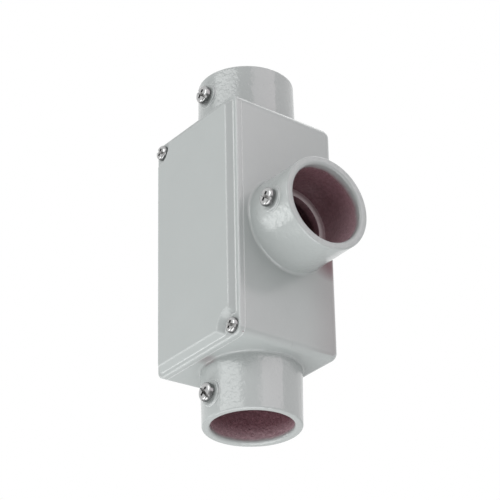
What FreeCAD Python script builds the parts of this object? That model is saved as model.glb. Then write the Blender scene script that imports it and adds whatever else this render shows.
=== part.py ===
import FreeCAD, Part
import os
import Sketcher

# A T-shaped conduit body with slip-in hubs, set screws and a screwed cover, in millimetres.
# Z runs up the straight run of conduit, the cover faces -Y and the side hub points along +X.
# The origin is on the axis of the straight run, where the bottom hub's rounded lip meets its bore.

DRIVING_SIZES = {
    # Hubs
    "bore_diameter": 34.0,
    "hub_wall": 3.45,
    "hub_length": 24.5,
    "hub_draft": 1.0,
    "hub_root_radius": 0.9,
    "rim_outer_round": 0.8,
    "rim_inner_round": 1.4,
    "socket_depth": 23.0,
    "stop_step": 3.3,
    "stop_thickness": 2.4,
    "neck_step": 1.6,
    # Cast box
    "box_width": 56.8,
    "box_height": 109.2,
    "front_land": 2.1,
    "back_reach": 3.6,
    "box_draft": 1.0,
    "box_wall": 3.0,
    "corner_round": 3.6,
    "back_round_extra": 0.4,
    "chamber_round": 2.0,
    # Cover and gasket
    "flange_thickness": 2.6,
    "flange_edge_round": 0.5,
    "flange_rim": 2.25,
    "panel_rise": 2.8,
    "panel_bevel": 33.0,
    "panel_edge_round": 0.5,
    "panel_thickness": 2.5,
    "recess_inset": 6.5,
    "recess_round": 3.0,
    "relief_radius": 4.9,
    "relief_slope": 42.0,
    "relief_flare": 1.2,
    "pillar_wall": 2.0,
    "rebate_rim": 0.9,
    "gasket_thickness": 0.8,
    "gasket_band": 2.6,
    "gasket_eye": 3.3,
    # Cover screws
    "cover_screw_inset": 4.4,
    "cover_screw_diameter": 3.5,
    "cover_screw_length": 12.0,
    "cover_screw_head": 6.6,
    "cover_screw_head_rise": 2.1,
    "cover_screw_drive": 4.0,
    "post_diameter": 7.0,
    "post_length": 15.0,
    "post_hole_depth": 12.0,
    # Set screws
    "set_screw_inset": 10.1,
    "set_screw_diameter": 4.8,
    "set_screw_length": 4.7,
    "set_screw_head": 8.0,
    "set_screw_head_rise": 2.2,
    "set_screw_drive": 4.8,
    "set_boss_diameter": 10.8,
    "set_boss_rise": 0.6,
    "set_boss_round": 0.4,
    # Details that both kinds of screw share
    "slot_width": 1.2,
    "slot_depth": 1.1,
    "cross_width": 1.3,
    "cross_depth": 1.7,
    "cross_taper": 8.0,
    "tip_chamfer": 0.5,
    # Clearances, each on the radius unless it is named a gap
    "thread_clearance": 0.05,
    "screw_hole_clearance": 0.25,
    "gasket_side_gap": 0.1,
    "set_screw_tip_gap": 0.2,
}

document = FreeCAD.newDocument("ConduitBody")
sheet = document.addObject("Spreadsheet::Sheet", "Sizes")
for row, (alias, number_of_units) in enumerate(DRIVING_SIZES.items(), start=1):
    sheet.set(f"A{row}", alias)
    sheet.set(f"B{row}", str(number_of_units))
    sheet.setAlias(f"B{row}", alias)
document.recompute()


def size(alias):
    """The expression that reads one driving size."""
    return f"Sizes.{alias}"


def value(expression):
    """The present value of an expression, for first sketch shapes and for finding edges."""
    result = sheet.evalExpression(str(expression))
    return float(getattr(result, "Value", result))


def tan_of(alias):
    return f"tan({size(alias)} * 1 deg)"


# Places and sizes that follow from the driving ones.
BORE_RADIUS = f"({size('bore_diameter')} / 2)"
STOP_RADIUS = f"({BORE_RADIUS} - {size('stop_step')})"
NECK_RADIUS = f"({STOP_RADIUS} + {size('neck_step')})"
MOUTH_RADIUS = f"({BORE_RADIUS} + {size('hub_wall')})"
ROOT_RADIUS = f"({MOUTH_RADIUS} + {size('hub_length')} * {tan_of('hub_draft')})"
HUB_FOOT_RADIUS = f"({ROOT_RADIUS} + {size('hub_root_radius')})"
BACK_ROUND = f"({size('corner_round')} + {size('back_round_extra')})"
BODY_FRONT = f"({HUB_FOOT_RADIUS} + {size('front_land')})"
BODY_BACK = f"({ROOT_RADIUS} + {size('back_reach')})"
BODY_DEPTH = f"({BODY_FRONT} + {BODY_BACK})"
BOTTOM_MOUTH = f"(-{size('rim_inner_round')})"
BOX_MIDDLE = f"({BOTTOM_MOUTH} + {size('hub_length')} + {size('box_height')} / 2)"
TOP_MOUTH = f"(2 * {BOX_MIDDLE} - {BOTTOM_MOUTH})"
SIDE_MOUTH = f"({size('box_width')} / 2 + {size('hub_length')})"
REBATE_FLOOR = f"({BODY_FRONT} + {size('gasket_thickness')})"
FLANGE_FRONT = f"({BODY_FRONT} + {size('flange_thickness')})"
PANEL_FRONT = f"({FLANGE_FRONT} + {size('panel_rise')})"
PANEL_BEVEL_RUN = f"({size('panel_rise')} * {tan_of('panel_bevel')})"
RELIEF_RUN = f"({size('panel_rise')} * {tan_of('relief_slope')})"
RECESS_DEPTH = f"({PANEL_FRONT} - {size('panel_thickness')} - {REBATE_FLOOR})"
CORNER_REACH = (f"({size('cover_screw_inset')} + {size('relief_radius')} + {RELIEF_RUN}"
                f" + {size('pillar_wall')})")
COVER_SCREW_ACROSS = f"({size('box_width')} / 2 - {size('cover_screw_inset')})"
COVER_SCREW_UP = f"({size('box_height')} / 2 - {size('cover_screw_inset')})"
SET_BOSS_REACH = f"({MOUTH_RADIUS} + {size('set_boss_rise')})"
SET_SCREW_SEAT = f"({BORE_RADIUS} + {size('set_screw_tip_gap')} + {size('set_screw_length')})"

# The two cover screws stand at opposite corners: lower right and upper left, seen from the front.
COVER_SCREWS = {
    "lower": (COVER_SCREW_ACROSS, f"({BOX_MIDDLE} - {COVER_SCREW_UP})"),
    "upper": (f"(-{COVER_SCREW_ACROSS})", f"({BOX_MIDDLE} + {COVER_SCREW_UP})"),
}
# Where each set screw crosses its hub, as X and Z.
SET_SCREWS = {
    "bottom": ("0", f"({BOTTOM_MOUTH} + {size('set_screw_inset')})"),
    "top": ("0", f"({TOP_MOUTH} - {size('set_screw_inset')})"),
    "side": (f"({SIDE_MOUTH} - {size('set_screw_inset')})", BOX_MIDDLE),
}


def new_body(label):
    body = document.addObject("PartDesign::Body", label)
    body.Label = label
    return body


def new_sketch(body, name, plane, place):
    """A sketch on one of the body's origin planes, moved by three expressions in the plane's frame."""
    sketch = body.newObject("Sketcher::SketchObject", name)
    support = [item for item in body.Origin.OriginFeatures if item.Role == plane][0]
    sketch.AttachmentSupport = [(support, "")]
    sketch.MapMode = "FlatFace"
    for axis, expression in zip("xyz", place):
        if expression != "0":
            sketch.setExpression(f"AttachmentOffset.Base.{axis}", expression)
    return sketch


def circle_sketch(body, name, plane, place, radius):
    sketch = new_sketch(body, name, plane, place)
    centre = FreeCAD.Vector(0, 0, 0)
    sketch.addGeometry(Part.Circle(centre, FreeCAD.Vector(0, 0, 1), value(radius)))
    sketch.addConstraint(Sketcher.Constraint("Coincident", 0, 3, -1, 1))
    sketch.addConstraint(Sketcher.Constraint("Radius", 0, value(radius)))
    sketch.renameConstraint(1, "radius")
    sketch.setExpression("Constraints.radius", radius)
    return sketch


def rectangle_sketch(body, name, plane, place, width, height):
    sketch = new_sketch(body, name, plane, place)
    half_width, half_height = value(width) / 2, value(height) / 2
    corners = [
        FreeCAD.Vector(-half_width, -half_height, 0),
        FreeCAD.Vector(half_width, -half_height, 0),
        FreeCAD.Vector(half_width, half_height, 0),
        FreeCAD.Vector(-half_width, half_height, 0),
    ]
    for index in range(4):
        sketch.addGeometry(Part.LineSegment(corners[index], corners[(index + 1) % 4]))
    for index in range(4):
        sketch.addConstraint(Sketcher.Constraint("Coincident", index, 2, (index + 1) % 4, 1))
    for index in (0, 2):
        sketch.addConstraint(Sketcher.Constraint("Horizontal", index))
        sketch.addConstraint(Sketcher.Constraint("Vertical", index + 1))
    sketch.addConstraint(Sketcher.Constraint("Symmetric", 0, 1, 2, 1, -1, 1))
    across = sketch.addConstraint(Sketcher.Constraint("DistanceX", 0, 1, 0, 2, 2 * half_width))
    upward = sketch.addConstraint(Sketcher.Constraint("DistanceY", 1, 1, 1, 2, 2 * half_height))
    sketch.renameConstraint(across, "width")
    sketch.renameConstraint(upward, "height")
    sketch.setExpression("Constraints.width", width)
    sketch.setExpression("Constraints.height", height)
    return sketch


def extrude(body, kind, sketch, length, along_normal, taper=None):
    """A Pad or Pocket of a sketch, along its plane's normal or against it."""
    feature = body.newObject(f"PartDesign::{kind}", f"{sketch.Name}{kind}")
    feature.Profile = sketch
    feature.setExpression("Length", length)
    if taper:
        feature.setExpression("TaperAngle", taper)
    goes_with_normal = kind == "Pad"
    feature.Reversed = along_normal != goes_with_normal
    document.recompute()
    return feature


def edges_where(feature, test):
    return [f"Edge{index}" for index, edge in enumerate(feature.Shape.Edges, start=1) if test(edge)]


def points_on(edge, count=9):
    first, last = edge.ParameterRange
    return [edge.valueAt(first + (last - first) * step / (count - 1)) for step in range(count)]


def soften(body, kind, name, radius, test):
    """A Fillet or Chamfer on the edges of the body's last feature that pass a test."""
    base = body.Tip
    edges = edges_where(base, test)
    if not edges:
        raise RuntimeError(f"{name}: no edge to work on")
    feature = body.newObject(f"PartDesign::{kind}", name)
    feature.Base = (base, edges)
    feature.setExpression("Radius" if kind == "Fillet" else "Size", radius)
    document.recompute()
    if "Invalid" in feature.State:
        raise RuntimeError(f"{name} failed on {edges}")
    return feature


def lies_at(edge, axis, place, tolerance=0.01):
    """True where the whole edge lies in one plane across an axis."""
    return all(abs(getattr(point, axis) - place) < tolerance for point in points_on(edge))


def spans_depth(edge, depth):
    """True for an edge that runs from front to back over about the given depth."""
    box = edge.BoundBox
    runs_deep = 0.8 * depth < box.YLength < 1.2 * depth
    return runs_deep and box.XLength < 0.2 * depth and box.ZLength < 0.2 * depth


class Hub:
    """One round hub: its mouth, the way inward and its parts on the casting."""

    def __init__(self, name, plane, place, inward_is_normal, length, axis, set_screw):
        self.name = name
        self.plane = plane
        self.place = place
        self.inward_is_normal = inward_is_normal
        self.length = length
        self.axis = axis
        self.set_screw = set_screw

    def placed(self, depth):
        """The sketch's place at a depth below the mouth."""
        along = f"({self.place[2]} {'+' if self.inward_is_normal else '-'} {depth})"
        return (self.place[0], self.place[1], along)

    def circle(self, body, part, depth, radius):
        return circle_sketch(body, f"{self.name}{part}", self.plane, self.placed(depth), radius)

    def from_axis(self, point):
        across = [name for name in "xyz" if name != self.axis]
        offsets = {"x": point.x, "y": point.y, "z": point.z}
        if self.axis == "x":
            offsets["z"] -= value(BOX_MIDDLE)
        return (offsets[across[0]] ** 2 + offsets[across[1]] ** 2) ** 0.5

    def below_mouth(self, point):
        return abs(getattr(point, self.axis) - value(self.place[2]))

    def is_root(self, edge):
        """True for the line where the hub's outside meets the box."""
        low, high = value(MOUTH_RADIUS) + 0.1, value(ROOT_RADIUS) + 0.5
        near = 0.8 * value(self.length)
        far = value(self.length) + value(size("box_wall"))
        return all(
            low < self.from_axis(point) < high and near < self.below_mouth(point) < far
            for point in points_on(edge)
        )

    def is_rim(self, edge, radius):
        return all(
            abs(self.from_axis(point) - value(radius)) < 0.01 and self.below_mouth(point) < 0.01
            for point in points_on(edge)
        )


HUBS = [
    Hub("Bottom", "XY_Plane", ("0", "0", BOTTOM_MOUTH), True, size("hub_length"), "z", "bottom"),
    Hub("Top", "XY_Plane", ("0", "0", TOP_MOUTH), False, size("hub_length"), "z", "top"),
    Hub("Side", "YZ_Plane", ("0", BOX_MIDDLE, SIDE_MOUTH), False, size("hub_length"), "x", "side"),
]


def make_casting():
    """The cast box with its three hubs, screw bosses, cover posts, chamber and sockets."""
    body = new_body("body_casting")
    front = ("0", BOX_MIDDLE, BODY_FRONT)
    back_plane = value(BODY_BACK)

    outline = rectangle_sketch(body, "BoxOutline", "XZ_Plane", front, size("box_width"), size("box_height"))
    extrude(body, "Pad", outline, BODY_DEPTH, False, f"-{size('box_draft')}")
    depth = value(BODY_DEPTH)
    soften(body, "Fillet", "BoxBack", BACK_ROUND, lambda edge: lies_at(edge, "y", back_plane))
    soften(body, "Fillet", "BoxCorners", size("corner_round"), lambda edge: spans_depth(edge, depth))

    for hub in HUBS:
        outside = hub.circle(body, "Outside", "0", MOUTH_RADIUS)
        reach = f"({hub.length} + {size('box_wall')})"
        extrude(body, "Pad", outside, reach, hub.inward_is_normal, size("hub_draft"))
    soften(body, "Fillet", "HubRoots", size("hub_root_radius"),
           lambda edge: any(hub.is_root(edge) for hub in HUBS))
    for hub in HUBS:
        across, up = SET_SCREWS[hub.set_screw]
        boss = circle_sketch(body, f"{hub.name}Boss", "XZ_Plane", (across, up, SET_BOSS_REACH),
                             f"({size('set_boss_diameter')} / 2)")
        extrude(body, "Pad", boss, f"({SET_BOSS_REACH} - {BORE_RADIUS})", False)
    boss_plane = -value(SET_BOSS_REACH)
    soften(body, "Fillet", "BossEdges", size("set_boss_round"), lambda edge: lies_at(edge, "y", boss_plane))

    chamber = rectangle_sketch(
        body, "Chamber", "XZ_Plane", front,
        f"({size('box_width')} - 2 * {size('box_wall')})",
        f"({size('box_height')} - 2 * {size('box_wall')})")
    chamber_depth = f"({BODY_DEPTH} - {size('box_wall')})"
    extrude(body, "Pocket", chamber, chamber_depth, False, f"-{size('box_draft')}")
    inner_half = value(size("box_width")) / 2 - value(size("box_wall")) + 0.1
    floor_plane = value(BODY_BACK) - value(size("box_wall"))
    soften(body, "Fillet", "ChamberEdges", size("chamber_round"),
           lambda edge: (spans_depth(edge, value(chamber_depth)) and abs(edge.CenterOfMass.x) < inner_half)
           or lies_at(edge, "y", floor_plane))

    for name, (across, up) in COVER_SCREWS.items():
        post = circle_sketch(body, f"Post{name.title()}", "XZ_Plane", (across, up, BODY_FRONT),
                             f"({size('post_diameter')} / 2)")
        extrude(body, "Pad", post, size("post_length"), False)
        hole = circle_sketch(body, f"PostHole{name.title()}", "XZ_Plane", (across, up, BODY_FRONT),
                             f"({size('cover_screw_diameter')} / 2 + {size('thread_clearance')})")
        extrude(body, "Pocket", hole, size("post_hole_depth"), False)

    for hub in HUBS:
        through = f"({hub.length} + 2 * {size('box_wall')})"
        behind_stop = f"({size('socket_depth')} + {size('stop_thickness')})"
        inward = hub.inward_is_normal
        extrude(body, "Pocket", hub.circle(body, "Stop", "0", STOP_RADIUS), through, inward)
        extrude(body, "Pocket", hub.circle(body, "Socket", "0", BORE_RADIUS), size("socket_depth"), inward)
        extrude(body, "Pocket", hub.circle(body, "Neck", behind_stop, NECK_RADIUS),
                f"({through} - {behind_stop})", inward)
        across, up = SET_SCREWS[hub.set_screw]
        hole = circle_sketch(body, f"{hub.name}ScrewHole", "XZ_Plane", (across, up, SET_BOSS_REACH),
                             f"({size('set_screw_diameter')} / 2 + {size('thread_clearance')})")
        extrude(body, "Pocket", hole, SET_BOSS_REACH, False)
    soften(body, "Fillet", "OuterRims", size("rim_outer_round"),
           lambda edge: any(hub.is_rim(edge, MOUTH_RADIUS) for hub in HUBS))
    soften(body, "Fillet", "InnerRims", size("rim_inner_round"),
           lambda edge: any(hub.is_rim(edge, BORE_RADIUS) for hub in HUBS))
    return body


def make_cover():
    """The cast cover: a flange, a raised bevelled panel, two screw seats and a hollow back."""
    body = new_body("cover")
    flange = rectangle_sketch(body, "Flange", "XZ_Plane", ("0", BOX_MIDDLE, BODY_FRONT),
                              size("box_width"), size("box_height"))
    extrude(body, "Pad", flange, size("flange_thickness"), True)
    # The gasket lies in a shallow rebate, so that the flange's rim meets the casting.
    rebate = rectangle_sketch(body, "Rebate", "XZ_Plane", ("0", BOX_MIDDLE, BODY_FRONT),
                              f"({size('box_width')} - 2 * {size('rebate_rim')})",
                              f"({size('box_height')} - 2 * {size('rebate_rim')})")
    extrude(body, "Pocket", rebate, size("gasket_thickness"), True)
    rebate_depth = value(size("gasket_thickness"))
    soften(body, "Fillet", "RebateCorners", f"({size('corner_round')} - {size('rebate_rim')})",
           lambda edge: spans_depth(edge, rebate_depth))
    thickness = value(size("flange_thickness"))
    soften(body, "Fillet", "FlangeCorners", size("corner_round"), lambda edge: spans_depth(edge, thickness))

    panel = rectangle_sketch(body, "Panel", "XZ_Plane", ("0", BOX_MIDDLE, FLANGE_FRONT),
                             f"({size('box_width')} - 2 * {size('flange_rim')})",
                             f"({size('box_height')} - 2 * {size('flange_rim')})")
    extrude(body, "Pad", panel, size("panel_rise"), True, f"-{size('panel_bevel')}")
    for name, (across, up) in COVER_SCREWS.items():
        relief = circle_sketch(body, f"Relief{name.title()}", "XZ_Plane", (across, up, PANEL_FRONT),
                               f"({size('relief_radius')} + {RELIEF_RUN})")
        extrude(body, "Pocket", relief, size("panel_rise"), False, f"-{size('relief_slope')}")

    foot, top = -value(FLANGE_FRONT), -value(PANEL_FRONT)

    def is_slope_edge(edge):
        """True for an edge that climbs the bevel from the flange to the panel."""
        box = edge.BoundBox
        return abs(box.YMax - foot) < 0.01 and abs(box.YMin - top) < 0.01

    soften(body, "Fillet", "ReliefFlares", size("relief_flare"), is_slope_edge)
    soften(body, "Fillet", "PanelEdge", size("panel_edge_round"), lambda edge: lies_at(edge, "y", top))

    def is_flange_edge(edge):
        rim = value(size("flange_rim")) / 2
        outside = [
            abs(point.x) > value(size("box_width")) / 2 - rim
            or abs(point.z - value(BOX_MIDDLE)) > value(size("box_height")) / 2 - rim
            for point in points_on(edge)
        ]
        return lies_at(edge, "y", foot) and all(outside)

    soften(body, "Fillet", "FlangeEdge", size("flange_edge_round"), is_flange_edge)

    # The hollow back is a cross, which leaves a solid corner round each screw.
    for name, across_inset, up_inset in (("Wide", size("recess_inset"), CORNER_REACH),
                                         ("Tall", CORNER_REACH, size("recess_inset"))):
        recess = rectangle_sketch(body, f"Recess{name}", "XZ_Plane", ("0", BOX_MIDDLE, REBATE_FLOOR),
                                  f"({size('box_width')} - 2 * {across_inset})",
                                  f"({size('box_height')} - 2 * {up_inset})")
        extrude(body, "Pocket", recess, RECESS_DEPTH, True)
    recess_depth = value(RECESS_DEPTH)
    soften(body, "Fillet", "RecessCorners", size("recess_round"),
           lambda edge: spans_depth(edge, recess_depth)
           and abs(edge.BoundBox.YMax + value(REBATE_FLOOR)) < 0.01
           and abs(edge.BoundBox.YLength - recess_depth) < 0.01)
    for name, (across, up) in COVER_SCREWS.items():
        hole = circle_sketch(body, f"Hole{name.title()}", "XZ_Plane", (across, up, BODY_FRONT),
                             f"({size('cover_screw_diameter')} / 2 + {size('screw_hole_clearance')})")
        extrude(body, "Pocket", hole, size("flange_thickness"), True)
    return body


def make_gasket():
    """The flat ring between casting and cover, with an eye round each cover screw."""
    body = new_body("cover_gasket")
    place = ("0", BOX_MIDDLE, BODY_FRONT)
    edge_inset = f"({size('rebate_rim')} + {size('gasket_side_gap')})"
    inset = f"2 * {edge_inset}"
    band = f"2 * ({edge_inset} + {size('gasket_band')})"
    ring = rectangle_sketch(body, "Ring", "XZ_Plane", place,
                            f"({size('box_width')} - {inset})", f"({size('box_height')} - {inset})")
    extrude(body, "Pad", ring, size("gasket_thickness"), True)
    thickness = value(size("gasket_thickness"))
    soften(body, "Fillet", "RingCorners", f"({size('corner_round')} - {edge_inset})",
           lambda edge: spans_depth(edge, thickness))
    opening = rectangle_sketch(body, "Opening", "XZ_Plane", place,
                               f"({size('box_width')} - {band})", f"({size('box_height')} - {band})")
    extrude(body, "Pocket", opening, size("gasket_thickness"), True)
    for name, (across, up) in COVER_SCREWS.items():
        eye = circle_sketch(body, f"Eye{name.title()}", "XZ_Plane", (across, up, BODY_FRONT),
                            size("gasket_eye"))
        extrude(body, "Pad", eye, size("gasket_thickness"), True)
        hole = circle_sketch(body, f"EyeHole{name.title()}", "XZ_Plane", (across, up, BODY_FRONT),
                             f"({size('cover_screw_diameter')} / 2 + {size('screw_hole_clearance')})")
        extrude(body, "Pocket", hole, size("gasket_thickness"), True)
    return body


# The part of a head's height that its rounded shoulder takes.
HEAD_ROUND_SHARE = 0.6


def make_screw(label, kind, place, turn):
    """A pan-head screw with a slot and a cross recess, its head's seat at its own origin."""
    body = new_body(label)
    head = circle_sketch(body, f"Head_{label}", "XY_Plane", ("0", "0", "0"),
                         f"({size(kind + '_head')} / 2)")
    rise = size(f"{kind}_head_rise")
    extrude(body, "Pad", head, rise, True)
    top = value(rise)
    soften(body, "Fillet", f"HeadRound_{label}", f"({rise} * {HEAD_ROUND_SHARE})",
           lambda edge: lies_at(edge, "z", top))

    length = size(f"{kind}_length")
    shank = circle_sketch(body, f"Shank_{label}", "XY_Plane", ("0", "0", "0"),
                          f"({size(kind + '_diameter')} / 2)")
    extrude(body, "Pad", shank, length, False)
    tip = -value(length)
    soften(body, "Chamfer", f"Tip_{label}", size("tip_chamfer"), lambda edge: lies_at(edge, "z", tip))

    slot = rectangle_sketch(body, f"Slot_{label}", "XY_Plane", ("0", "0", rise),
                            size(f"{kind}_head"), size("slot_width"))
    extrude(body, "Pocket", slot, size("slot_depth"), False)
    drive = size(f"{kind}_drive")
    for arm, (width, height) in {"Across": (drive, size("cross_width")),
                                 "Upright": (size("cross_width"), drive)}.items():
        recess = rectangle_sketch(body, f"Cross{arm}_{label}", "XY_Plane", ("0", "0", rise), width, height)
        extrude(body, "Pocket", recess, size("cross_depth"), False, f"-{size('cross_taper')}")

    facing_front = FreeCAD.Rotation(FreeCAD.Vector(1, 0, 0), 90)
    turned = FreeCAD.Rotation(FreeCAD.Vector(0, 0, 1), turn)
    body.Placement = FreeCAD.Placement(FreeCAD.Vector(0, 0, 0), facing_front.multiply(turned))
    for axis, expression in zip("xyz", place):
        body.setExpression(f"Placement.Base.{axis}", expression)
    document.recompute()
    return body


# How far each screw's slot is turned from level, in degrees.
SLOT_TURNS = {"lower": 62, "upper": 118, "bottom": 70, "top": 66, "side": 64}


def make_screws():
    screws = []
    for name, (across, up) in COVER_SCREWS.items():
        place = (across, f"(-{FLANGE_FRONT})", up)
        screws.append(make_screw(f"cover_screw_{name}", "cover_screw", place, SLOT_TURNS[name]))
    for name, (across, up) in SET_SCREWS.items():
        place = (across, f"(-{SET_SCREW_SEAT})", up)
        screws.append(make_screw(f"set_screw_{name}", "set_screw", place, SLOT_TURNS[name]))
    return screws


def check_and_write(bodies):
    document.recompute()
    failed = [item.Name for item in document.Objects if {"Invalid", "Error"} & set(item.State)]
    if failed:
        raise RuntimeError(f"these objects failed: {failed}")
    for body in bodies:
        shape = body.Shape
        if shape.isNull() or not shape.isValid() or len(shape.Solids) != 1:
            raise RuntimeError(f"{body.Label} is not one valid solid")
    os.makedirs("parts", exist_ok=True)
    for body in bodies:
        body.Shape.exportStep(f"parts/{body.Label}.step")
        box = body.Shape.BoundBox
        print(f"{body.Label}: {body.Shape.Volume:.1f} mm3, "
              f"X {box.XMin:.2f} to {box.XMax:.2f}, Y {box.YMin:.2f} to {box.YMax:.2f}, "
              f"Z {box.ZMin:.2f} to {box.ZMax:.2f}")


check_and_write([make_casting(), make_cover(), make_gasket()] + make_screws())
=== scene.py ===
import math

import bmesh
import bpy
from mathutils import Matrix, Vector


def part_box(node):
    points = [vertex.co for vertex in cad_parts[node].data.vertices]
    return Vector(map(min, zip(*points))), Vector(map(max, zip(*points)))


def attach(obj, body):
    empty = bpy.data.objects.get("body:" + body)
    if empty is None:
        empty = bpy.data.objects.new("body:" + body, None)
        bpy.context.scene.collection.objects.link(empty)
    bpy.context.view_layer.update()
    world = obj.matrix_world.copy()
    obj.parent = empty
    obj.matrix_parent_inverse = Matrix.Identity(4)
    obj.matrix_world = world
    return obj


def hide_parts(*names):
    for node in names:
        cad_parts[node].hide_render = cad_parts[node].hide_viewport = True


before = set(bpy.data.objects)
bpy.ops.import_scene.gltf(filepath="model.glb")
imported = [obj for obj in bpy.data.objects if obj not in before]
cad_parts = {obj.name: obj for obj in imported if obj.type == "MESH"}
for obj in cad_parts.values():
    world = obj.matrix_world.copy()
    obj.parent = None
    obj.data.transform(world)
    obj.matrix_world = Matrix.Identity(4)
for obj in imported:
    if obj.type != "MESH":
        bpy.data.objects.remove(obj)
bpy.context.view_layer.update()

MM = 0.001

# The lines of the casting, as the solids have them. The mouths are measured from its middle.
MIDDLE_UP = 77.7 * MM
BODY_FRONT = -23.88 * MM
RUN_MOUTH = 79.1 * MM
SIDE_MOUTH = 52.9 * MM
BORE_RADIUS = 17.0 * MM
STOP_RADIUS = 13.7 * MM
STOP_BELOW_MOUTH = 24.2 * MM
STOP_FROM, STOP_TO = STOP_RADIUS + 0.1 * MM, BORE_RADIUS - 0.1 * MM

# Planes that lie within the walls of the box, so they part its inside from its outside.
IN_WALL_ACROSS = 25.8 * MM
IN_WALL_ALONG = 52.0 * MM
IN_WALL_BACK = 22.2 * MM

# The back of the cover: reach from its middle, and depth in front of the body.
REBATE_ACROSS, REBATE_ALONG, REBATE_DEPTH = 27.4 * MM, 53.6 * MM, 1.0 * MM
HOLLOW_ACROSS, HOLLOW_ALONG, HOLLOW_DEPTH = 25.4 * MM, 51.6 * MM, 3.1 * MM
PILLAR_ACROSS, PILLAR_ALONG, PILLAR_REACH = 24.0 * MM, 50.2 * MM, 6.3 * MM

# Places on the casting: its side face, the painted shade behind the side hub and at the foot of
# the bottom hub, and where the hubs begin.
SIDE_FACE = (27 * MM, 29.2 * MM)
SHADE_PATCH_DEPTH, SHADE_PATCH_UP = 21 * MM, 68 * MM
HUB_FOOT_RADIUS, HUB_FOOT_UP = 22.4 * MM, 22.6 * MM
HUBS_FROM_ALONG, HUBS_FROM_ACROSS = 54.9 * MM, 29.0 * MM

# Head radius, head height, shank radius, length and width of the drive, in millimetres.
COVER_SCREW = (3.3, 2.1, 1.75, 12.0, 4.0)
SET_SCREW = (4.0, 2.2, 2.4, 4.7, 4.8)
COVER_SEAT = -26.48 * MM
BOSS_SEAT = -21.9 * MM
THREAD_PITCH = 0.8 * MM
THREAD_DEPTH = 0.4 * MM
STEPS_PER_TURN = 8
POINT_CHAMFER = 0.5 * MM
SLOT_WIDTH, SLOT_DEPTH = 1.15 * MM, 1.05 * MM
ARM_WIDTH, ARM_DEPTH, ARM_TAPER = 1.25 * MM, 1.7 * MM, 2.6 * MM
ABOVE_HEAD = 0.5 * MM

# Each screw's node, its body, its seat, its sizes and the angle that its slot stands at.
SCREWS = (
    ("cover_screw_lower", "lid_screw_lower", COVER_SEAT, COVER_SCREW, 152),
    ("cover_screw_upper", "lid_screw_upper", COVER_SEAT, COVER_SCREW, 147),
    ("set_screw_bottom", "clamp_screw_bottom", BOSS_SEAT, SET_SCREW, 128),
    ("set_screw_top", "clamp_screw_top", BOSS_SEAT, SET_SCREW, 136),
    ("set_screw_side", "clamp_screw_side", BOSS_SEAT, SET_SCREW, 141),
)

# Each lamp's azimuth, elevation and distance, its width and height, its brightness and tint.
# Angles are in degrees and lengths in metres.
LAMPS = (
    ("key", 4, 27, 1.4, 1.30, 0.60, 2.35, (0.985, 1.0, 0.995)),
    ("strip", -46, -7, 1.4, 0.45, 0.60, 2.65, (0.985, 1.0, 0.995)),
    ("fill_right", 100, 24, 1.6, 1.5, 1.5, 1.15, (1.0, 0.885, 0.93)),
    ("rim", 190, 55, 1.4, 0.9, 0.55, 1.0, (1.0, 1.0, 1.0)),
    ("fill_below", -10, -72, 0.9, 1.0, 1.0, 1.95, (1.0, 1.0, 1.0)),
)
WORLD_ON_SURFACES = 0.525
WORLD_AS_SEEN = 1.0
FLOOR_REACH, FLOOR_UP = 12.0, -1.0

# The photograph's camera, fitted to its edges, in degrees and millimetres.
CAMERA_AZIMUTH, CAMERA_ELEVATION, CAMERA_ROLL = 52.923, -27.457, -1.167
CAMERA_DISTANCE, CAMERA_LENS = 916.85, 159.11
CAMERA_TARGET_UP, CAMERA_SHIFT_RIGHT, CAMERA_SHIFT_UP = 68.6, 0.448, 9.126


def aim(location, target, roll=0.0):
    """The placing of a lamp or camera that looks from one point at another."""
    back = (Vector(location) - Vector(target)).normalized()
    right = Vector((0, 0, 1)).cross(back).normalized()
    up = back.cross(right)
    across = right * math.cos(roll) + up * math.sin(roll)
    upward = up * math.cos(roll) - right * math.sin(roll)
    turned = Matrix((across, upward, back)).transposed().to_4x4()
    return Matrix.Translation(Vector(location)) @ turned


def towards(azimuth, elevation):
    """The direction of a compass angle from the cover's front and a height angle."""
    turn, rise = math.radians(azimuth), math.radians(elevation)
    return Vector((math.sin(turn) * math.cos(rise),
                   -math.cos(turn) * math.cos(rise),
                   math.sin(rise)))


def place_camera():
    back = towards(CAMERA_AZIMUTH, CAMERA_ELEVATION)
    right = Vector((0, 0, 1)).cross(back).normalized()
    up = back.cross(right)
    target = Vector((0, 0, CAMERA_TARGET_UP * MM))
    target = target + right * CAMERA_SHIFT_RIGHT * MM + up * CAMERA_SHIFT_UP * MM
    camera_data = bpy.data.cameras.new("camera")
    camera_data.sensor_width = 36
    camera_data.lens = CAMERA_LENS
    camera_data.clip_start = 0.01
    camera_data.clip_end = 20
    camera = bpy.data.objects.new("camera", camera_data)
    bpy.context.scene.collection.objects.link(camera)
    camera.matrix_world = aim(target + back * CAMERA_DISTANCE * MM, target,
                              math.radians(CAMERA_ROLL))
    bpy.context.scene.camera = camera


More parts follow.
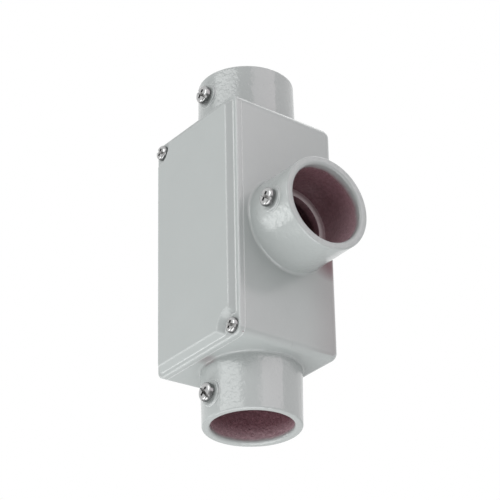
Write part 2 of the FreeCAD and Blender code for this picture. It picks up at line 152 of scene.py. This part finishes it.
class Value:
    """A shader socket that can be used in a Python expression."""

    def __init__(self, finish, socket):
        self.finish = finish
        self.socket = socket

    def maths(self, operation, *others):
        return self.finish.node("ShaderNodeMath", {"operation": operation},
                                dict(enumerate(others)))

    def __add__(self, other):
        return self.maths("ADD", self, other)

    def __sub__(self, other):
        return self.maths("SUBTRACT", self, other)

    def __mul__(self, other):
        return self.maths("MULTIPLY", self, other)

    def __radd__(self, other):
        return self.maths("ADD", other, self)

    def __rsub__(self, other):
        return self.maths("SUBTRACT", other, self)

    def __rmul__(self, other):
        return self.maths("MULTIPLY", other, self)

    def __abs__(self):
        return self.maths("ABSOLUTE", self)

    def __gt__(self, other):
        return self.maths("GREATER_THAN", self, other)

    def __lt__(self, other):
        return self.maths("LESS_THAN", self, other)

    def least(self, other):
        return self.maths("MINIMUM", self, other)

    def most(self, other):
        return self.maths("MAXIMUM", self, other)

    def root(self):
        return self.maths("SQRT", self)

    def near(self, middle, reach):
        """1 within reach of the middle, and 0 elsewhere."""
        return abs(self - middle) < reach

    def between(self, low, high):
        """0 below low, 1 above high, and a smooth rise between them."""
        return self.finish.node("ShaderNodeMapRange", {"interpolation_type": "SMOOTHSTEP"},
                                {"Value": self, "From Min": low, "From Max": high})


class Finish:
    """One material, made from nodes."""

    def __init__(self, name):
        self.material = bpy.data.materials.new(name)
        self.material.use_nodes = True
        self.tree = self.material.node_tree
        self.tree.nodes.clear()
        self.output = self.tree.nodes.new("ShaderNodeOutputMaterial")
        self.shader = self.tree.nodes.new("ShaderNodeBsdfPrincipled")
        self.tree.links.new(self.shader.outputs[0], self.output.inputs["Surface"])

    def give(self, socket, value):
        """Puts a number, a colour or the link of another socket into a socket."""
        if isinstance(value, Value):
            self.tree.links.new(value.socket, socket)
        elif isinstance(value, tuple) and socket.type == "RGBA":
            socket.default_value = (*value, 1)
        else:
            socket.default_value = value

    def node(self, kind, settings, inputs, output=0):
        made = self.tree.nodes.new(kind)
        for name, setting in settings.items():
            setattr(made, name, setting)
        for name, value in inputs.items():
            self.give(made.inputs[name], value)
        return Value(self, made.outputs[output])

    def shade(self, **inputs):
        for name, value in inputs.items():
            self.give(self.shader.inputs[name.replace("_", " ")], value)

    def place(self):
        """The point on the piece, in the piece's own frame."""
        return self.node("ShaderNodeTexCoord", {}, {}, "Object")

    def axes(self, place):
        return [self.node("ShaderNodeSeparateXYZ", {}, {"Vector": place}, axis)
                for axis in "XYZ"]

    def noise(self, place, size, detail=2.0, roughness=0.5):
        """Soft noise from 0 to 1 whose patches are about as wide as size."""
        return self.node("ShaderNodeTexNoise", {},
                         {"Vector": place, "Scale": 1 / size, "Detail": detail,
                          "Roughness": roughness})

    def blend(self, amount, first, second):
        """Two colours mixed by an amount from 0 to 1."""
        return self.node("ShaderNodeMix", {"data_type": "RGBA"},
                         {0: amount, 6: first, 7: second}, 2)

    def bump(self, height, depth, strength=1.0, normal=None):
        inputs = {"Height": height, "Distance": depth, "Strength": strength}
        if normal is not None:
            inputs["Normal"] = normal
        return self.node("ShaderNodeBump", {}, inputs)

    def soft_edges(self, radius):
        return self.node("ShaderNodeBevel", {"samples": 6}, {"Radius": radius})

    def edges(self, softened):
        """0 on open surface, and up to 1 where the softened normal leaves it at an edge."""
        normal = self.node("ShaderNodeNewGeometry", {}, {}, "Normal")
        alike = self.node("ShaderNodeVectorMath", {"operation": "DOT_PRODUCT"},
                          {0: softened, 1: normal}, "Value")
        return (1 - alike).between(0.006, 0.10)


def distance(first, second):
    """The distance that two shader values at right angles span."""
    return (first * first + second * second).root()


def srgb(red, green, blue):
    """A colour from 0 to 255 as the light it stands for."""
    def level(part):
        part = part / 255
        return part / 12.92 if part <= 0.04045 else ((part + 0.055) / 1.055) ** 2.4
    return level(red), level(green), level(blue)


def enamel(finish, inside, edge_radius, roughened,
           painted_shade=0.0, lit_near_mouth=0.0, painted_lit_ring=0.0, ridge=0.0):
    """Gloss grey enamel outside, and where inside is 1 the primer of the cavity.

    Painted shade darkens the enamel to the primer's tint. The primer is painted paler, as if lit,
    below a mouth, and nearly white on the lit stop rings. Painted highlights pale the enamel's
    edges.
    """
    place = finish.place()
    peel = finish.noise(place, 1.9 * MM, 2.0)
    dimples = finish.noise(place, 0.7 * MM, 2.0)
    sand = finish.noise(place, 1.3 * MM, 4.0, 0.6)
    cloud = finish.noise(place, 22 * MM, 3.0)
    paint = finish.blend(cloud, srgb(169, 174, 173), srgb(175, 180, 179))
    # Painted shade, tinted like the primer, darkens the enamel where the mask is 1.
    paint = finish.blend(painted_shade, paint, srgb(104, 62, 70))
    edge = finish.soft_edges(edge_radius)
    edge_highlight = finish.edges(edge)
    # Painted highlight: the enamel is painted paler along its edges.
    paint = finish.blend(0.8 * edge_highlight, paint, srgb(240, 244, 243))
    speckle = finish.noise(place, 1.2 * MM, 4.0)
    deep = finish.blend(speckle, srgb(88, 51, 57), srgb(152, 113, 122))
    # Painted light: a paler primer stands for the light near the mouths.
    lit_primer = finish.blend(speckle, srgb(162, 126, 134), srgb(212, 184, 191))
    primer = finish.blend(lit_near_mouth, deep, lit_primer)
    # Painted light: the stop rings are painted nearly white, and a painted highlight along their
    # edges.
    primer = finish.blend(painted_lit_ring, primer, srgb(238, 230, 230))
    primer = finish.blend(edge_highlight * painted_lit_ring, primer, srgb(255, 252, 252))
    skin = finish.bump(dimples, 0.07 * MM, 0.8 * roughened * (1 - inside), edge)
    skin = finish.bump(peel, 0.20 * MM, 0.8 * roughened * (1 - inside), skin)
    skin = finish.bump(ridge, 0.16 * MM, 1.0, skin)
    finish.shade(Base_Color=finish.blend(inside, paint, primer),
                 Roughness=0.17 + 0.04 * cloud - 0.09 * roughened + 0.20 * inside,
                 Specular_IOR_Level=0.8,
                 Normal=finish.bump(sand, 0.55 * MM, 0.9 * inside, skin))


def casting_enamel():
    """The primer shows in the bores past their rounded lips, and in the chamber."""
    finish = Finish("casting_enamel")
    place = finish.place()
    across, depth, up = finish.axes(place)
    above = up - MIDDLE_UP
    wander = (finish.noise(place, 5 * MM, 4.0) - 0.5) * 1.6 * MM
    from_run = distance(across, depth)
    from_side = distance(above, depth)
    below_run_mouth = RUN_MOUTH - abs(above) + wander
    below_side_mouth = SIDE_MOUTH - across + wander

    # The enamel reaches a little way into the bores, and furthest at the top of the side hub.
    run_bore = from_run < BORE_RADIUS + 0.10 * MM
    side_bore = (from_side < BORE_RADIUS + 0.10 * MM).least(across > 0)
    in_run = run_bore * below_run_mouth.between(0.9 * MM, 2.8 * MM)
    lit_lip = 0.9 * MM * above.between(2 * MM, 15 * MM)
    in_side = side_bore * (below_side_mouth - lit_lip).between(1.1 * MM, 4.0 * MM)
    in_box = (abs(across) < IN_WALL_ACROSS).least(abs(above) < IN_WALL_ALONG)
    in_box = in_box.least(depth < IN_WALL_BACK)

    # Painted light: the primer is painted paler towards the mouths of the run, and along the low
    # side of the side bore.
    run_painted_light = 0.9 * run_bore * (1 - below_run_mouth.between(1 * MM, 9 * MM))
    low_side = (4 * MM - above).between(-12 * MM, 16 * MM)
    side_painted_light = (side_bore * (0.12 + 0.88 * low_side)
                 * (1 - below_side_mouth.between(8 * MM, 42 * MM)))

    # Painted light: the stop rings are painted nearly white as if lit, most at their inner edge.
    run_stop = (below_run_mouth.near(STOP_BELOW_MOUTH, 1.6 * MM)
                * (from_run > STOP_FROM) * (from_run < STOP_TO))
    side_stop = (below_side_mouth.near(STOP_BELOW_MOUTH, 1.6 * MM) * (across > 0)
                 * (from_side > STOP_FROM) * (from_side < STOP_TO)
                 * (1 - 0.75 * from_side.between(14.4 * MM, 16.2 * MM)))

    # Painted shade, tinted like the primer: behind the side hub, at the foot of the bottom hub
    # and low at the back.
    from_patch = distance(depth - SHADE_PATCH_DEPTH, up - SHADE_PATCH_UP) + wander
    on_side = (across > SIDE_FACE[0]) * (across < SIDE_FACE[1])
    behind_hub = (1 - from_patch.between(2 * MM, 14 * MM)) * on_side
    foot = from_run.near(HUB_FOOT_RADIUS, 1.6 * MM) * up.near(HUB_FOOT_UP, 1.4 * MM)
    foot = foot * (1 - (abs(across) + wander).between(1 * MM, 6 * MM)) * (depth < 0)
    far_side = depth.between(4 * MM, 24 * MM) * (1 - up.between(60 * MM, 105 * MM))
    painted_shade = (0.95 * behind_hub).most(0.3 * foot).most(0.24 * far_side * on_side)

    # A witness of the mould's parting plane crosses the lower edge of the box.
    ridge = (1 - (abs(depth) + 0.3 * wander).between(0, 0.6 * MM)) * (across > 26.6 * MM)
    ridge = ridge * (1 - up.between(24.4 * MM, 26 * MM))

    # The enamel went on thicker and rougher round the hubs than on the flat sides.
    on_hubs = (abs(above) > HUBS_FROM_ALONG).most(across > HUBS_FROM_ACROSS)
    enamel(finish, in_run.most(in_side).most(in_box), 0.5 * MM, 0.15 + 1.05 * on_hubs,
           painted_shade, run_painted_light.most(side_painted_light), run_stop.most(side_stop), ridge)
    return finish.material


def cover_enamel():
    """Primer shows in the rebate and the hollow of the cover's back, clear of its pillars."""
    finish = Finish("cover_enamel")
    across, depth, up = finish.axes(finish.place())
    along = abs(up - MIDDLE_UP)
    rebate = (abs(across) < REBATE_ACROSS).least(along < REBATE_ALONG)
    rebate = rebate.least(depth > BODY_FRONT - REBATE_DEPTH)
    hollow = (abs(across) < HOLLOW_ACROSS).least(along < HOLLOW_ALONG)
    hollow = hollow.least(depth > BODY_FRONT - HOLLOW_DEPTH)
    for side in (1, -1):
        from_pillar = distance(side * across - PILLAR_ACROSS,
                               side * (MIDDLE_UP - up) - PILLAR_ALONG)
        hollow = hollow.least(from_pillar > PILLAR_REACH)
    enamel(finish, rebate.most(hollow), 1.0 * MM, 0.2)
    return finish.material


def gasket_rubber():
    finish = Finish("gasket_rubber")
    place = finish.place()
    cloud = finish.noise(place, 6 * MM, 4.0)
    grain = finish.noise(place, 0.3 * MM, 3.0)
    finish.shade(Base_Color=finish.blend(cloud, srgb(58, 58, 60), srgb(78, 78, 79)),
                 Roughness=0.62 + 0.15 * grain,
                 Normal=finish.bump(grain, 0.04 * MM, 0.7))
    return finish.material


def bright_zinc():
    """Bright plate, duller in clouds; painted shade darkens the recess and under the head, and a
    painted dark reflection its flank.
    """
    finish = Finish("bright_zinc")
    place = finish.place()
    across, upright, height = finish.axes(place)
    cloud = finish.noise(place, 1.6 * MM, 4.0)
    scratches = finish.noise(place, 0.25 * MM, 3.0)
    recess = (distance(across, upright) < 2.5 * MM).least(height < 1.75 * MM)
    recess = recess.least(height > 0.2 * MM)
    # Painted shade under the head.
    shade_under_head = (height < 0.25 * MM) * 0.6
    facing = finish.axes(finish.node("ShaderNodeTexCoord", {}, {}, "Normal"))[2]
    # Painted dark reflection on the flank of the head.
    dark_reflection_flank = (1 - facing.between(0.15, 0.8)).least(1 - recess).least(height > 0.1 * MM)
    plate = finish.blend(cloud, srgb(146, 147, 148), srgb(204, 204, 203))
    plate = finish.blend(0.75 * dark_reflection_flank, plate, srgb(96, 97, 98))
    # Painted shade in the recess and under the head.
    finish.shade(Base_Color=finish.blend(recess.most(shade_under_head), plate, srgb(150, 149, 148)),
                 Metallic=1.0,
                 Roughness=0.08 + 0.12 * cloud + 0.25 * recess,
                 Normal=finish.bump(scratches, 0.02 * MM, 0.5,
                                    finish.soft_edges(0.12 * MM)))
    return finish.material


def lathe(build, rings, around=64):
    """A closed skin from rings of points; each ring is its height and a radius for each angle."""
    angles = [2 * math.pi * step / around for step in range(around)]
    loops = []
    for height, radius_at in rings:
        loops.append([build.verts.new((radius_at(angle) * math.cos(angle),
                                       radius_at(angle) * math.sin(angle), height))
                      for angle in angles])
    for low, high in zip(loops, loops[1:]):
        for index in range(around):
            after = (index + 1) % around
            build.faces.new((low[index], low[after], high[after], high[index]))
    build.faces.new(loops[0][::-1])
    build.faces.new(loops[-1])


def block(name, width, height, low, high, narrowing=0.0):
    """A straight block from low to high, its foot less wide than its top by the narrowing."""
    build = bmesh.new()
    bmesh.ops.create_cube(build, size=1.0)
    for vertex in build.verts:
        at_foot = vertex.co.z < 0
        vertex.co.x *= width - (narrowing if at_foot else 0)
        vertex.co.y *= height
        vertex.co.z = low if at_foot else high
    mesh = bpy.data.meshes.new(name)
    build.to_mesh(mesh)
    build.free()
    return bpy.data.objects.new(name, mesh)


def screw_skin(head_radius, rise, shank_radius, length):
    """A rounded pan head with a relief under its rim, over a threaded shank; its seat is at 0."""
    build = bmesh.new()

    def steady(radius):
        return lambda angle: radius

    def threaded(height):
        def radius_at(angle):
            phase = (height / THREAD_PITCH + angle / (2 * math.pi)) % 1.0
            groove = THREAD_DEPTH * abs(2 * phase - 1)
            chamfered = shank_radius - max(0, POINT_CHAMFER - (height + length))
            return min(shank_radius - groove, chamfered)
        return radius_at

    rows = int(length / THREAD_PITCH * STEPS_PER_TURN)
    heights = [-length * (1 - row / rows) for row in range(rows)]
    rings = [(height, threaded(height)) for height in heights]
    rings.append((0, steady(shank_radius)))

    relief, chamfer = 0.06 * MM, 0.10 * MM
    rings.append((relief, steady(head_radius - chamfer)))
    rings.append((relief + chamfer, steady(head_radius)))

    rounding, crown = 1.20 * MM, 0.06 * MM
    wall = rise - crown - rounding
    for step in range(9):
        slope = math.radians(86 * step / 8)
        top = wall + rounding * math.sin(slope)
        shoulder = head_radius - rounding * (1 - math.cos(slope))
        rings.append((top, steady(shoulder)))
    for step in range(1, 7):
        inward = step / 6.3
        rings.append((top + (rise - top) * (1 - (1 - inward) ** 2),
                      steady(shoulder * (1 - inward))))
    lathe(build, rings)
    mesh = bpy.data.meshes.new("screw_skin")
    build.to_mesh(mesh)
    build.free()
    return mesh


def make_screw(node, body, seat, sizes, turn, zinc):
    """A screw with a rounded head, a slot and a cross recess, in the place of its plain node."""
    head_radius, rise, shank_radius, length, drive = [size * MM for size in sizes]
    low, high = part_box(node)
    screw = bpy.data.objects.new(node + "_turned",
                                 screw_skin(head_radius, rise, shank_radius, length))
    bpy.context.scene.collection.objects.link(screw)
    top = rise + ABOVE_HEAD
    slot_floor, arm_floor = rise - SLOT_DEPTH, rise - ARM_DEPTH
    cutters = [block("slot", 3 * head_radius, SLOT_WIDTH, slot_floor, top),
               block("arm", drive, ARM_WIDTH, arm_floor, top, ARM_TAPER),
               block("cross_arm", drive, ARM_WIDTH, arm_floor, top, ARM_TAPER)]
    cutters[2].rotation_euler = (0, 0, math.pi / 2)
    for cutter in cutters:
        bpy.context.scene.collection.objects.link(cutter)
        cut = screw.modifiers.new(cutter.name, "BOOLEAN")
        cut.operation = "DIFFERENCE"
        cut.solver = "EXACT"
        cut.object = cutter
    graph = bpy.context.evaluated_depsgraph_get()
    mesh = bpy.data.meshes.new_from_object(screw.evaluated_get(graph))
    screw.modifiers.clear()
    screw.data = mesh
    for cutter in cutters:
        bpy.data.objects.remove(cutter)
    middle = Vector(((low[0] + high[0]) / 2, seat, (low[2] + high[2]) / 2))
    mesh.transform(Matrix.Rotation(math.radians(turn), 4, "Z"))
    screw.matrix_world = Matrix.Translation(middle) @ Matrix.Rotation(math.pi / 2, 4, "X")
    mesh.polygons.foreach_set("use_smooth", [True] * len(mesh.polygons))
    mesh.set_sharp_from_angle(angle=math.radians(32))
    mesh.materials.clear()
    mesh.materials.append(zinc)
    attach(screw, body)
    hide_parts(node)


def dress_nodes():
    zinc = bright_zinc()
    for screw in SCREWS:
        make_screw(*screw, zinc)
    finishes = {"body_casting": casting_enamel(), "cover": cover_enamel(),
                "cover_gasket": gasket_rubber()}
    for name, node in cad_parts.items():
        finish = finishes.get(name, zinc)
        for slot in node.material_slots:
            slot.material = finish
        if not node.material_slots:
            node.data.materials.append(finish)


def softbox(name, azimuth, elevation, away, width, height, brightness, tint):
    """A rectangular lamp that faces the object; brightness 1 is paper white."""
    middle = Vector((0, 0, MIDDLE_UP))
    lamp_data = bpy.data.lights.new(name, "AREA")
    lamp_data.shape = "RECTANGLE"
    lamp_data.size = width
    lamp_data.size_y = height
    lamp_data.energy = brightness * math.pi * width * height
    lamp_data.color = tint
    lamp = bpy.data.objects.new(name, lamp_data)
    bpy.context.scene.collection.objects.link(lamp)
    lamp.matrix_world = aim(middle + towards(azimuth, elevation) * away, middle)


def make_surroundings():
    """White all round, dimmer where it lights a matt surface than where it is seen."""
    world = bpy.data.worlds.new("surroundings")
    world.use_nodes = True
    tree = world.node_tree
    tree.nodes.clear()
    ray = tree.nodes.new("ShaderNodeLightPath")
    mirrored = tree.nodes.new("ShaderNodeMath")
    mirrored.operation = "MAXIMUM"
    tree.links.new(ray.outputs["Is Glossy Ray"], mirrored.inputs[0])
    tree.links.new(ray.outputs["Is Transmission Ray"], mirrored.inputs[1])
    seen = tree.nodes.new("ShaderNodeMath")
    seen.operation = "MAXIMUM"
    tree.links.new(ray.outputs["Is Camera Ray"], seen.inputs[0])
    tree.links.new(mirrored.outputs[0], seen.inputs[1])
    strength = tree.nodes.new("ShaderNodeMapRange")
    strength.inputs["To Min"].default_value = WORLD_ON_SURFACES
    strength.inputs["To Max"].default_value = WORLD_AS_SEEN
    tree.links.new(seen.outputs[0], strength.inputs["Value"])
    background = tree.nodes.new("ShaderNodeBackground")
    background.inputs["Color"].default_value = (1, 1, 1, 1)
    tree.links.new(strength.outputs[0], background.inputs["Strength"])
    output = tree.nodes.new("ShaderNodeOutputWorld")
    tree.links.new(background.outputs[0], output.inputs["Surface"])
    bpy.context.scene.world = world


def lay_floor():
    """A pale floor, low enough that the photograph's upward view stands above it."""
    finish = Finish("floor_paint")
    mottle = finish.noise(finish.place(), 0.4, 3.0)
    finish.shade(Base_Color=finish.blend(mottle, (0.93, 0.93, 0.93), (0.96, 0.96, 0.96)),
                 Roughness=0.9)
    mesh = bpy.data.meshes.new("floor")
    build = bmesh.new()
    bmesh.ops.create_grid(build, x_segments=8, y_segments=8, size=FLOOR_REACH)
    build.to_mesh(mesh)
    build.free()
    mesh.materials.append(finish.material)
    floor = bpy.data.objects.new("floor", mesh)
    floor.location = (0, 0, FLOOR_UP)
    bpy.context.scene.collection.objects.link(floor)


place_camera()
dress_nodes()
for lamp in LAMPS:
    softbox(*lamp)
make_surroundings()
lay_floor()
bpy.context.scene.view_settings.view_transform = "Standard"
